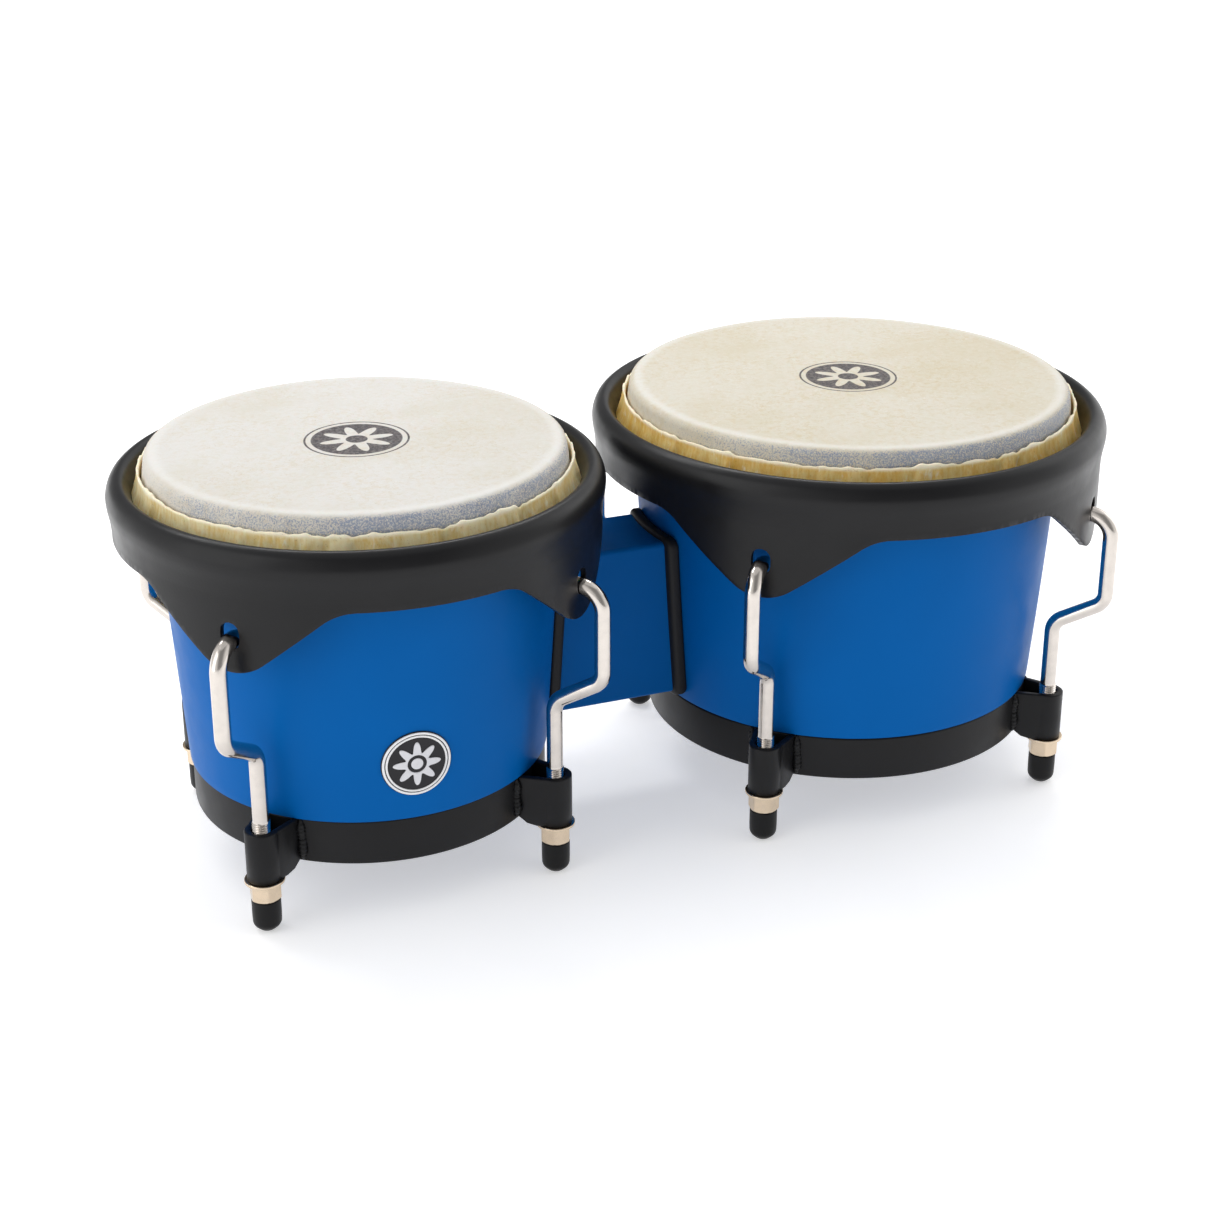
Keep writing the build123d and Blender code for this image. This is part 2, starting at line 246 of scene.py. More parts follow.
def hash_noise(seed):
    """Smooth periodic noise of an angle: a sum of the waves low to high, from a seeded generator."""
    source = random.Random(seed)
    count = 64
    waves = [(source.uniform(0, 2 * math.pi), source.uniform(0.5, 1.0)) for _ in range(count)]

    def value(angle, low, high):
        total = 0
        for k in range(low, high):
            shift, size = waves[k % count]
            total += size * math.sin(k * angle + shift)
        return total / math.sqrt(high - low)
    return value


# ---- materials --------------------
class Finish:
    """A node material built round one Principled shader."""

    def __init__(self, name, **sockets):
        self.material = bpy.data.materials.new(name)
        self.material.use_nodes = True
        self.tree = self.material.node_tree
        self.shader = self.tree.nodes["Principled BSDF"]
        for key, value in sockets.items():
            self.shader.inputs[key.replace("_", " ")].default_value = value
        self.place = self.tree.nodes.new("ShaderNodeTexCoord").outputs["Object"]

    def drive(self, key, output):
        self.tree.links.new(output, self.shader.inputs[key])

    def _feed(self, socket, value):
        if isinstance(value, bpy.types.NodeSocket):
            self.tree.links.new(value, socket)
        else:
            socket.default_value = value

    def stretch(self, scale, shift=(0, 0, 0)):
        node = self.tree.nodes.new("ShaderNodeMapping")
        self.tree.links.new(self.place, node.inputs["Vector"])
        node.inputs["Scale"].default_value = scale
        node.inputs["Location"].default_value = shift
        return node.outputs["Vector"]

    def noise(self, scale, detail, roughness=0.55, where=None):
        node = self.tree.nodes.new("ShaderNodeTexNoise")
        self.tree.links.new(where or self.place, node.inputs["Vector"])
        node.inputs["Scale"].default_value = scale
        node.inputs["Detail"].default_value = detail
        node.inputs["Roughness"].default_value = roughness
        return node.outputs["Fac"]

    def math(self, operation, a, b=0.0, c=0.0, clamp=False):
        node = self.tree.nodes.new("ShaderNodeMath")
        node.operation = operation
        node.use_clamp = clamp
        for socket, value in zip(node.inputs, (a, b, c)):
            self._feed(socket, value)
        return node.outputs[0]

    def product(self, first, *others):
        for other in others:
            first = self.math("MULTIPLY", first, other)
        return first

    def between(self, value, low, high, out_low=0.0, out_high=1.0):
        """Value mapped smoothly from low..high to out_low..out_high."""
        node = self.tree.nodes.new("ShaderNodeMapRange")
        node.interpolation_type = "SMOOTHSTEP"
        self._feed(node.inputs["Value"], value)
        for key, number in (("From Min", low), ("From Max", high), ("To Min", out_low), ("To Max", out_high)):
            node.inputs[key].default_value = number
        return node.outputs["Result"]

    def blend(self, factor, a, b):
        """Colour a where the factor is 0, and b where it is 1."""
        node = self.tree.nodes.new("ShaderNodeMix")
        node.data_type = "RGBA"
        self._feed(node.inputs["Factor"], factor)
        self._feed(node.inputs["A"], a)
        self._feed(node.inputs["B"], b)
        return node.outputs["Result"]

    def axes(self, where):
        node = self.tree.nodes.new("ShaderNodeSeparateXYZ")
        self.tree.links.new(where, node.inputs[0])
        return node.outputs

    def bump(self, height, distance, strength, after=None):
        """Relief of a height field on the shader, on top of the relief after."""
        node = self.tree.nodes.new("ShaderNodeBump")
        node.inputs["Strength"].default_value = strength
        node.inputs["Distance"].default_value = distance
        self.tree.links.new(height, node.inputs["Height"])
        if after is not None:
            self.tree.links.new(after, node.inputs["Normal"])
        self.tree.links.new(node.outputs["Normal"], self.shader.inputs["Normal"])
        return node.outputs["Normal"]


def rgb(red, green, blue):
    """Colour from sRGB values of 0 to 255."""
    def linear(v):
        v /= 255
        return v / 12.92 if v <= 0.04045 else ((v + 0.055) / 1.055) ** 2.4
    return (linear(red), linear(green), linear(blue), 1.0)


def shade(colour, factor):
    return tuple(factor * c for c in colour[:3]) + (1.0,)


def satin_paint(name, dark, light, roughness, level=0.5):
    """Sprayed paint with fine orange peel and a slight cloudiness."""
    finish = Finish(name, Roughness=roughness, Specular_IOR_Level=level)
    cloud = finish.noise(14, 2)
    peel = finish.noise(900, 2)
    finish.drive("Base Color", finish.blend(finish.between(cloud, 0.3, 0.7), dark, light))
    haze = finish.between(finish.noise(60, 3), 0.3, 0.7, roughness - 0.04, roughness + 0.05)
    finish.drive("Roughness", haze)
    finish.bump(peel, 0.06 * MM, 0.35)
    return finish.material


def shell_interior():
    """Moulded inner wall of the shells, unpainted and slightly rough."""
    finish = Finish("shell_interior", Roughness=0.6)
    grain = finish.noise(120, 5, where=finish.stretch((1, 1, 0.15)))
    finish.drive("Base Color", finish.blend(grain, rgb(24, 62, 120), rgb(38, 84, 150)))
    finish.bump(grain, 0.3 * MM, 0.5)
    return finish.material


def plated(name, colour, roughness, streak=0.0):
    """Bright plated steel with faint lengthwise polishing lines and handling haze."""
    finish = Finish(name, Metallic=1.0, Base_Color=colour, Roughness=roughness)
    haze = finish.noise(220, 4)
    lines = finish.noise(2400, 2, where=finish.stretch((1, 1, 0.06)))
    mixed = finish.math("MULTIPLY_ADD", lines, streak, haze)
    finish.drive("Roughness", finish.between(mixed, 0.35, 0.75 + streak, roughness * 0.75, roughness * 1.35))
    finish.drive("Base Color", finish.blend(finish.between(haze, 0.35, 0.7), colour, shade(colour, 0.93)))
    finish.bump(lines, 0.02 * MM, 0.25)
    return finish.material


def rubber(name, colour, roughness):
    """Moulded black rubber with a fine grain."""
    finish = Finish(name, Roughness=roughness, Specular_IOR_Level=0.22)
    grain = finish.noise(1500, 3)
    finish.drive("Base Color", finish.blend(grain, colour, shade(colour, 1.5)))
    finish.bump(grain, 0.05 * MM, 0.6)
    return finish.material


def rawhide_head(drum, light, warm, mottle):
    """Natural skin, slightly translucent: mottled and speckled, with a painted pale highlight band over the
    edge, darker blue-grey speckle down the wall, and a round ink print.
    """
    finish = Finish(f"{drum.name}_rawhide", Roughness=0.62, Subsurface_Weight=0.06,
                    Subsurface_Scale=0.002, Specular_IOR_Level=0.3)
    about = finish.stretch((1, 1, 1), (-drum.x, 0, 0))
    x, y, z = finish.axes(about)
    radius = finish.math("SQRT", finish.math("ADD", finish.product(x, x), finish.product(y, y)))
    clouds = finish.between(finish.noise(15, 5, 0.6, about), 0.40, 0.66)
    base = finish.blend(clouds, light, warm)
    grain = finish.between(finish.noise(330, 6, 0.75, about), 0.42, 0.66)
    patches = finish.between(finish.noise(34, 3, 0.6, about), 0.36, 0.64, 0.35, 1.0)
    base = finish.blend(finish.product(grain, patches, mottle), base, rgb(196, 176, 132))
    fleck = finish.between(finish.noise(1100, 2, 0.8, about), 0.62, 0.70)
    base = finish.blend(finish.product(fleck, patches, 0.42), base, rgb(160, 138, 96))
    pale = finish.between(finish.noise(700, 3, 0.7, about), 0.58, 0.70)
    base = finish.blend(finish.product(pale, 0.35), base, rgb(228, 227, 224))

    # over the edge the skin gets a painted pale highlight band; below it, down the wall, it turns darker tan
    # with a blue-grey speckle, strongest on the front side
    down = finish.math("SUBTRACT", drum.head_top, z)
    over = finish.math("ADD", down, finish.math("SUBTRACT", radius, drum.wall_r - 5.5 * MM))
    highlight_band = finish.product(finish.between(over, -3 * MM, 0.5 * MM),
                          finish.between(over, 1.5 * MM, 4 * MM, 1, 0))
    # painted highlight: the pale band on the rounding of the edge
    base = finish.blend(finish.product(highlight_band, 0.45), base, rgb(226, 225, 222))
    deep = finish.between(over, 1.0 * MM, 5.5 * MM)
    front = finish.between(finish.math("DIVIDE", finish.product(y, -1.0), radius), -0.1, 0.8, 0.2, 1.0)
    cloudy = finish.between(finish.noise(26, 3, 0.6, about), 0.35, 0.60, 0.68, 1.0)
    amount = finish.product(deep, front, cloudy)
    dots = finish.noise(1700, 3, 0.75, about)
    edge = finish.math("MULTIPLY_ADD", amount, -0.26, 0.70)
    shown = finish.between(finish.math("SUBTRACT", dots, edge), -0.06, 0.10)
    base = finish.blend(finish.product(deep, 0.20), base, rgb(186, 172, 138))
    base = finish.blend(finish.product(shown, deep, 0.74), base, rgb(108, 128, 162))

    # generic print: a ring, and a disc with an eight-petal rosette left bare
    share = finish.math("DIVIDE", radius, PRINT_R)
    wave = finish.math("COSINE", finish.product(finish.math("ARCTAN2", y, x), PETALS))
    petal = finish.math("MULTIPLY_ADD", wave, 0.20, 0.50)
    disc = finish.between(share, 0.845, 0.865, 1, 0)
    bare = finish.product(finish.between(finish.math("SUBTRACT", petal, share), -0.015, 0.015),
                          finish.between(share, 0.195, 0.215))
    hoop = finish.product(finish.between(share, 0.945, 0.955), finish.between(share, 0.985, 0.995, 1, 0))
    ink = finish.math("ADD", finish.product(disc, finish.math("SUBTRACT", 1.0, bare)), hoop, clamp=True)
    worn = finish.between(finish.noise(900, 3, 0.7, about), 0.30, 0.60, 0.78, 1.0)
    on_top = finish.between(z, drum.head_top - 3 * MM, drum.head_top - 1.5 * MM)
    base = finish.blend(finish.product(ink, worn, on_top), base, rgb(74, 69, 72))
    finish.drive("Base Color", base)
    finish.drive("Roughness", finish.between(grain, 0.0, 1.0, 0.55, 0.72))
    coarse = finish.bump(finish.noise(60, 4, 0.6, about), 0.4 * MM, 0.3)
    finish.bump(finish.noise(620, 4, 0.7, about), 0.12 * MM, 0.5, coarse)
    return finish.material


def rawhide_fold(drum, pale, deep):
    """Doubled edge of the skin: amber, finely streaked across the fold, paler at the cut, with painted shade
    on its lower part.
    """
    finish = Finish(f"{drum.name}_rawhide_fold", Roughness=0.5, Subsurface_Weight=0.12,
                    Subsurface_Scale=0.003, Specular_IOR_Level=0.35)
    about = finish.stretch((1, 1, 1), (-drum.x, 0, 0))
    z = finish.axes(about)["Z"]
    streaks = finish.noise(620, 4, 0.7, finish.stretch((1, 1, 0.22), (-drum.x, 0, 0)))
    patch = finish.noise(70, 4, 0.65, about)
    mixed = finish.math("MULTIPLY_ADD", streaks, 0.5, finish.product(patch, 0.5))
    base = finish.blend(finish.between(mixed, 0.36, 0.64), deep, pale)
    marks = finish.noise(260, 3, 0.7, finish.stretch((1, 1, 0.35), (-drum.x, 0, 0)))
    base = finish.blend(finish.product(finish.between(marks, 0.60, 0.74), 0.75), base, rgb(253, 246, 224))
    cut = finish.between(z, drum.collar_top - 1.8 * MM, drum.collar_top + 0.2 * MM)
    base = finish.blend(finish.product(cut, 0.85), base, rgb(253, 245, 222))
    # painted shade: the lower part of the fold, down in the gap by the rim, is darkened
    low = finish.between(z, drum.collar_top - 7 * MM, drum.collar_top - 2 * MM, 1, 0)
    base = finish.blend(finish.product(low, 0.12), base, shade(deep, 0.7))
    fleck = finish.between(finish.noise(1000, 2, 0.8, about), 0.62, 0.72)
    base = finish.blend(finish.product(fleck, 0.3), base, rgb(150, 112, 56))
    finish.drive("Base Color", base)
    finish.bump(mixed, 0.6 * MM, 0.6)
    return finish.material


SHELL_PAINT = satin_paint("shell_blue", rgb(0, 91, 165), rgb(0, 94, 170), 0.40, level=0.05)
BLOCK_PAINT = satin_paint("bridge_blue", rgb(0, 86, 156), rgb(0, 90, 162), 0.46, level=0.05)
RIM_PAINT = satin_paint("rim_black", rgb(17, 17, 19), rgb(21, 21, 23), 0.33, level=0.26)
RING_PAINT = satin_paint("ring_black", rgb(17, 17, 19), rgb(20, 20, 22), 0.40, level=0.22)
SHELL_INSIDE = shell_interior()
LUG_PLATING = plated("lug_nickel", rgb(212, 205, 198), 0.15, 0.3)
NUT_PLATING = plated("nut_nickel", rgb(222, 202, 176), 0.20, 0.2)
BOLT_STEEL = plated("bolt_steel", rgb(190, 190, 192), 0.35, 0.3)
HOOP_STEEL = plated("hoop_steel", rgb(160, 160, 162), 0.45)
CAP_RUBBER = rubber("cap_rubber", rgb(10, 10, 11), 0.42)
GASKET_RUBBER = rubber("gasket_rubber", rgb(25, 25, 27), 0.5)
HEAD_SKIN = {
    "macho": rawhide_head(MACHO, rgb(213, 211, 207), rgb(207, 203, 193), 0.30),
    "hembra": rawhide_head(HEMBRA, rgb(209, 204, 191), rgb(203, 195, 175), 0.44)}
FOLD_SKIN = {
    "macho": rawhide_fold(MACHO, rgb(252, 238, 192), rgb(238, 206, 128)),
    "hembra": rawhide_fold(HEMBRA, rgb(246, 220, 150), rgb(232, 184, 86))}
BADGE_WHITE = satin_paint("badge_white", rgb(236, 236, 238), rgb(242, 242, 243), 0.3)
BADGE_BLACK = satin_paint("badge_black", rgb(34, 33, 36), rgb(38, 37, 40), 0.35, level=0.25)
BADGE_SILVER = satin_paint("badge_silver", rgb(206, 206, 212), rgb(220, 220, 224), 0.3)


# ---- shells --------------------
SHELL_WALL = 8 * MM
SHELL_EDGE_R = 2.5 * MM     # roundings of the bearing edge
RING_WALL = 2.4 * MM


def shell_radius(drum, z):
    """Outside radius of the shell at a height: a cone with a slight belly."""
    share = (z - drum.shell_bottom) / (drum.shell_top - drum.shell_bottom)
    low, high = drum.shell_low_r, drum.head_r
    return low + share * (high - low) + 4 * drum.shell_bulge * share * (1 - share)


def make_shell(drum):
    """Shell turned from one section: seat of the ring, shoulder, cone, bearing edge and inside."""
    seat_r = drum.ring_r - RING_WALL
    heights = np.linspace(drum.ring_top + 0.1 * MM, drum.shell_top - SHELL_EDGE_R, 40)
    outside = [(shell_radius(drum, z), z) for z in heights]
    shoulder = [(seat_r, drum.shell_bottom), (seat_r, heights[0]), (outside[0][0] - 0.5 * MM, heights[0]),
                (outside[0][0] - 0.12 * MM, heights[0] + 0.12 * MM)]
    outside[0] = (outside[0][0], heights[0] + 0.6 * MM)
    top_r = shell_radius(drum, drum.shell_top)
    quarter = np.linspace(0, math.pi / 2, 9)
    edge = [(top_r - SHELL_EDGE_R * (1 - math.cos(t)), drum.shell_top - SHELL_EDGE_R * (1 - math.sin(t)))
            for t in quarter[1:]]
    edge += [(top_r - SHELL_WALL + SHELL_EDGE_R * (1 - math.sin(t)),
              drum.shell_top - SHELL_EDGE_R * (1 - math.cos(t))) for t in quarter]
    inside = [(shell_radius(drum, z) - SHELL_WALL, z)
              for z in np.linspace(drum.shell_top - 4 * MM, drum.shell_bottom, 12)]
    points, faces = turned(shoulder + outside + edge + inside)
    shell = make_piece(drum.node("shell_body"), placed(points, drum.place()), faces, SHELL_PAINT, 45)
    shell.data.materials.append(SHELL_INSIDE)
    for face in shell.data.polygons:
        middle = face.center - Vector((drum.x, 0, 0))
        if math.hypot(middle.x, middle.y) < shell_radius(drum, middle.z) - SHELL_WALL + 1 * MM:
            face.material_index = 1
    attach(shell, "root", "shell_blue", drum.node("shell"))


# ---- rims --------------------
SKIRT_IN = 1.4 * MM         # of the skirt inside the widest part of the rim
SKIRT_TOP = 141.0 * MM
SKIRT_EDGE = 138.4 * MM
EAR_APEX = 106.9 * MM       # where the straight edges of an ear would meet
EAR_TIP_R, EAR_ROOT_R = 20 * MM, 20 * MM
SHEET = 2.2 * MM
SLOT_LOW, SLOT_HIGH, SLOT_WIDTH = 121.15 * MM, 131.7 * MM, 7.8 * MM
SLOT_MIDDLE = (SLOT_LOW + SLOT_HIGH) / 2
# the sheet above the skirt, in mm: how far inside the widest part, and how high
BEAD = ((1.4, 137.0), (1.4, 141.0), (0.9, 146.5), (0.1, 151.5), (0.2, 155.0), (1.9, 158.8), (5.0, 160.6),
        (7.9, 158.4), (10.4, 151.6))


def rim_bead(drum):
    """Outer face of the sheet above the skirt: bead, crest and lip, as (radius, height)."""
    knots = [(drum.rim_r - inside * MM, height * MM) for inside, height in BEAD]
    return curve_through(knots, 6)[6:]


def from_slot(across, z):
    """Distance from the slot's straight middle line."""
    return math.hypot(across, max(abs(z - SLOT_MIDDLE) - (SLOT_HIGH - SLOT_LOW - SLOT_WIDTH) / 2, 0))


def skirt_sector(drum):
    """Flat points (arc length, height) and triangles of a quarter of the skirt with its slot."""
    r = drum.rim_r - SKIRT_IN
    side = r * math.pi / 4
    half = drum.ear_half * 1.02
    steps = TURN // 4
    top = [(w, SKIRT_TOP) for w in np.linspace(side, -side, steps + 1)]
    corners = [(-side, SKIRT_EDGE), (-half, SKIRT_EDGE), (0, EAR_APEX),
               (half, SKIRT_EDGE), (side, SKIRT_EDGE)]
    hem = rounded(corners, [0, EAR_ROOT_R, EAR_TIP_R, EAR_ROOT_R, 0], 16, close=False)
    hem_line = []
    for a, b in zip(hem[:-1], hem[1:]):
        parts = max(1, int(np.linalg.norm(b - a) / (1.4 * MM)))
        hem_line += [tuple(a + (b - a) * k / parts) for k in range(parts)]
    hem_line.append(tuple(hem[-1]))
    middle = (SKIRT_TOP + SKIRT_EDGE) / 2
    outline = top + [(-side, middle)] + hem_line + [(side, middle)]
    slot_r = SLOT_WIDTH / 2
    slot = rounded([(-slot_r, SLOT_LOW), (slot_r, SLOT_LOW), (slot_r, SLOT_HIGH), (-slot_r, SLOT_HIGH)],
                   [slot_r - 1e-6] * 4, 8)
    points = [Vector(p) for p in outline] + [Vector(p) for p in slot]
    n, m = len(outline), len(slot)
    edges = [(k, (k + 1) % n) for k in range(n)] + [(n + k, n + (k + 1) % m) for k in range(m)]
    hem_w = np.array([p[0] for p in hem_line])
    hem_z = np.array([p[1] for p in hem_line])
    pitch = 1.7 * MM
    for i, z in enumerate(np.arange(EAR_APEX, SKIRT_TOP, pitch * 0.86)):
        for w in np.arange(-side + pitch, side - pitch / 2, pitch) + (pitch / 2 if i % 2 else 0):
            clear_edge = z - np.interp(w, hem_w, hem_z) > 1.0 * MM and z < SKIRT_TOP - 1.0 * MM
            clear_slot = from_slot(w, z) > slot_r + 0.9 * MM
            if clear_edge and clear_slot and abs(w) < side - 1.2 * MM:
                points.append(Vector((w, z)))
    made = delaunay_2d_cdt(points, edges, [], 1, 1e-7)
    verts, tris = made[0], made[2]
    kept = []
    for tri in tris:
        centre = sum((verts[k] for k in tri), Vector((0, 0))) / len(tri)
        inside_slot = from_slot(centre.x, centre.y) < slot_r - 0.05 * MM
        below = centre.y < np.interp(centre.x, hem_w, hem_z)
        if not inside_slot and not below:
            kept.append(tuple(tri))
    return verts, kept


def make_rim(drum):
    """Pressed rim: four skirt quarters with their ears under one turned bead, then made solid."""
    skirt_r = drum.rim_r - SKIRT_IN
    verts, tris = skirt_sector(drum)
    points, faces = [], []
    for angle in LUG_ANGLES:
        start = len(points)
        for v in verts:
            turn = math.radians(angle) + v.x / skirt_r
            points.append(polar(skirt_r, turn, v.y))
        faces += [tuple(start + k for k in tri) for tri in tris]
    start = len(points)
    bead_points, bead_faces = turned(rim_bead(drum), closed=False)
    turn = Matrix.Rotation(math.radians(-180), 4, "Z")
    points += [tuple(turn @ Vector(p)) for p in bead_points]
    faces += [tuple(start + k for k in face) for face in bead_faces]
    rim = make_piece(drum.node("rim_sheet"), placed(points, drum.place()), faces, RIM_PAINT, 60)
    tidy = bmesh.new()
    tidy.from_mesh(rim.data)
    bmesh.ops.remove_doubles(tidy, verts=tidy.verts, dist=0.02 * MM)
    bmesh.ops.recalc_face_normals(tidy, faces=tidy.faces)
    outward = sum(f.normal.dot(f.calc_center_median() - Vector((drum.x, 0, f.calc_center_median().z)))
                  for f in tidy.faces)
    if outward < 0:
        bmesh.ops.reverse_faces(tidy, faces=tidy.faces)
    tidy.to_mesh(rim.data)
    tidy.free()
    sheet = rim.modifiers.new("sheet", "SOLIDIFY")
    sheet.thickness = SHEET
    sheet.offset = -1
    sheet.use_even_offset = True
    settle(rim)
    rim.data.set_sharp_from_angle(angle=math.radians(60))
    soften(rim, 0.55 * MM, 3, 60)
    attach(rim, drum.body, "rim_black", drum.node("rim"))


# ---- heads --------------------
SKIN_WALL_TOP, SKIN_WALL_END = 158 * MM, 152 * MM
FOLD_LOW = 146 * MM         # end of the fold's inner face


def head_section(drum):
    """Outer line of the skin from the middle, over the bearing edge and down the wall."""
    top = drum.head_top
    flat_r = drum.head_r + 0.9 * MM
    corners = [(0, top), (flat_r, top), (drum.wall_r, SKIN_WALL_TOP), (drum.wall_r, SKIN_WALL_END)]
    return rounded(corners, [0, 3.6 * MM, 8 * MM, 0], 10, close=False)


def make_head(drum):
    """Membrane and wall as one stretched skin with a slightly uneven surface."""
    wave = hash_noise(drum.head_seed)
    line = head_section(drum)
    rings = [(r, drum.head_top) for r in np.linspace(0.4 * MM, line[1][0] - 0.3 * MM, 44)]
    for a, b in zip(line[1:-1], line[2:]):
        parts = max(1, int(np.linalg.norm(b - a) / (0.9 * MM)))
        rings += [tuple(a + (b - a) * k / parts) for k in range(parts)]
    rings.append(tuple(line[-1]))
    points = []
    for r, z in rings:
        fall = min(1.0, (drum.head_top - z) / (10 * MM))
        for k in range(TURN):
            angle = 2 * math.pi * k / TURN
            ripple = 0.07 * MM * wave(angle, 3, 12) * (r / drum.wall_r) ** 4
            drape = fall * (0.16 * MM * wave(angle, 5, 18) + 0.05 * MM * wave(angle, 24, 60))
            radius = r + min(drape, 0.2 * MM)
            points.append(polar(radius, angle, z + ripple * (1 - fall) - 0.1 * MM))
    faces = grid_faces(len(rings), TURN, close_columns=True)
    faces.append(tuple(range(TURN)))
    skin = make_piece(drum.node("skin"), placed(points, drum.place()), faces, HEAD_SKIN[drum.name], 80)
    if skin.data.polygons[-1].normal.z < 0:
        skin.data.flip_normals()
    thick = skin.modifiers.new("thickness", "SOLIDIFY")
    thick.thickness = 0.9 * MM
    thick.offset = -1
    settle(skin)
    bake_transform(skin)
    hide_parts(drum.node("head"))
    drum.node("shell_body")


def make_fold(drum):
    """Folded edge of the skin over the flesh hoop, wrinkled and unevenly trimmed."""
    wave = hash_noise(drum.fold_seed)
    inner = drum.wall_r + 0.28 * MM
    hoop_r, hoop_z, wire = drum.wall_r + 3.6 * MM, 147 * MM, 3.3 * MM
    steps = 720
    rows = 26
    wrapped = 0.45              # share of the rows that go round the hoop
    leave = math.pi * 0.30      # angle at which the skin leaves the hoop
    leave_r, leave_z = hoop_r + wire * math.cos(leave), hoop_z + wire * math.sin(leave)
    columns = []
    for k in range(steps):
        angle = 2 * math.pi * k / steps
        trim = 0.5 * MM * wave(angle, 4, 16) + 0.5 * MM * wave(angle, 20, 50)
        trim += 0.3 * MM * wave(angle, 60, 130)
        lean = 0.12 * MM * max(0.0, wave(angle, 3, 10))
        pleat = 0.50 * MM * wave(angle, 30, 64) + 0.30 * MM * wave(angle, 70, 150)
        thick = 1.0 * MM + 0.25 * MM * wave(angle, 12, 40)
        top = drum.collar_top + trim
        inner_top = top - 0.25 * MM
        column = []
        for t in np.linspace(0, 1, rows):
            if t < wrapped:
                a = -math.pi / 2 + (t / wrapped) * math.pi * 0.80
                column.append((hoop_r + wire * math.cos(a), hoop_z + wire * math.sin(a)))
            else:
                s = (t - wrapped) / (1 - wrapped)
                ease = 1 - (1 - s) ** 2.2
                crease = 0.8 * pleat * math.sin(math.pi * min(1, s * 1.15))
                r = leave_r + (inner + thick + lean * s - leave_r) * ease + crease
                column.append((max(r, inner + 0.5 * MM), leave_z + (top - leave_z) * s))
        edge_r = inner + lean
        column.append((edge_r + thick * 0.72, top + 0.18 * MM))
        column.append((edge_r + thick * 0.30, top + 0.15 * MM))
        column.append((edge_r, inner_top))
        column += [(inner + lean * (1 - s), inner_top - (top - FOLD_LOW) * s)
                   for s in np.linspace(0.1, 1, 10)]
        columns.append((angle, column))
    count = len(columns[0][1])
    points = []
    for row in range(count):
        points += [polar(column[row][0], angle, column[row][1]) for angle, column in columns]
    faces = grid_faces(count, steps, close_rows=True, close_columns=True)
    fold = make_piece(drum.node("skin_fold"), placed(points, drum.place()), faces, FOLD_SKIN[drum.name], 75)
    attach(fold, drum.body, "skin_fold", drum.node("head_collar"))


# ---- bottom rings, brackets and welds --------------------
def make_bottom_ring(drum):
    inner = drum.ring_r - RING_WALL
    corners = [(inner, drum.ring_bottom), (drum.ring_r, drum.ring_bottom),
               (drum.ring_r, drum.ring_top), (inner, drum.ring_top)]
    section = rounded(corners, [0.7 * MM, 1.0 * MM, 1.0 * MM, 0.5 * MM], 5)
    points, faces = turned(section)
    ring = make_piece(drum.node("ring_band"), placed(points, drum.place()), faces, RING_PAINT, 50)
    attach(ring, "root", "ring_black", drum.node("bottom_ring"))


BRACKET_LOW, BRACKET_HIGH = (corner.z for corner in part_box("macho_lug_brackets"))
STRAP_OUTER_R, STRAP_OUTER_FOOT = 6.6 * MM, 8.8 * MM
STRAP_INNER_R, STRAP_INNER_FOOT = 3.95 * MM, 6.1 * MM
FOOT_RISE = 3.2 * MM        # of a strap's lower edge towards the ring


def strap_line(drum, loop_r, foot):
    """Plan of the strap from one foot round the lug to the other, in the lug's frame."""
    back = -(drum.lug_r - drum.ring_r) - 0.5 * MM
    lean = math.atan2(foot - loop_r, -back)
    start = math.pi / 2 + lean
    line = [(back, foot)]
    line += [(back * (1 - s), foot + (loop_r - foot) * s) for s in (0.3, 0.6, 0.85)]
    start *= 0.98
    line += [(loop_r * math.cos(a), loop_r * math.sin(a)) for a in np.linspace(start, -start, 33)]
    line += [(x, -y) for x, y in reversed(line[:4])]
    return line


def make_bracket(drum, number, angle):
    """Bent strap round one lug, with the two weld beads at its feet."""
    outer = strap_line(drum, STRAP_OUTER_R, STRAP_OUTER_FOOT)
    inner = strap_line(drum, STRAP_INNER_R, STRAP_INNER_FOOT)
    plan = outer + inner[::-1]
    foot_x = -(drum.lug_r - drum.ring_r)
    points = []
    for s in (0, 0.5, 1):
        for x, y in plan:
            near = max(0.0, 1 - (x - foot_x) / (4.5 * MM))
            bottom = BRACKET_LOW + FOOT_RISE * near ** 1.2
            points.append((x, y, bottom + (BRACKET_HIGH - bottom) * s))
    n = len(plan)
    faces = grid_faces(3, n, close_columns=True)
    half = len(outer)
    for level in (0, 2 * n):
        for k in range(half - 1):
            faces.append((level + k, level + k + 1, level + n - 2 - k, level + n - 1 - k))
    strap = make_piece(f"{drum.name}_bracket_{number}", placed(points, drum.at_lug(angle)), faces,
                       RING_PAINT, 40)
    soften(strap, 0.55 * MM, 3, 40)
    attach(strap, "root", "ring_black")
    for side in (1, -1):
        attach(make_weld(drum, number, angle, side), "root", "ring_black")
    return strap


def make_weld(drum, number, angle, side):
    """Rippled weld bead where a strap's foot meets the ring."""
    source = random.Random(number * 10 + side + drum.weld_seed)
    low, high = drum.ring_bottom + 1.2 * MM, BRACKET_HIGH - 0.2 * MM
    y = side * (STRAP_OUTER_FOOT + 0.8 * MM)
    ring_x = math.sqrt(drum.ring_r ** 2 - y ** 2) - drum.lug_r
    steps = 46
    path, radii = [], []
    for k in range(steps):
        s = k / (steps - 1)
        path.append((ring_x + 0.25 * MM * math.sin(9 * s + source.uniform(-0.2, 0.2)),
                     y + 0.3 * MM * math.sin(5 * s + side), low + (high - low) * s))
        scale = abs(math.sin(k * math.pi / 4.6))
        end = min(1.0, 4 * s + 0.25, 4 * (1 - s) + 0.25)
        radii.append((1.55 + 0.42 * scale + source.uniform(-0.08, 0.08)) * MM * end)
    points, faces = tube_along(path, radii, 14)
    return make_piece(f"{drum.name}_weld_{number}_{'left' if side > 0 else 'right'}",
                      placed(points, drum.at_lug(angle)), faces, RING_PAINT, 70)


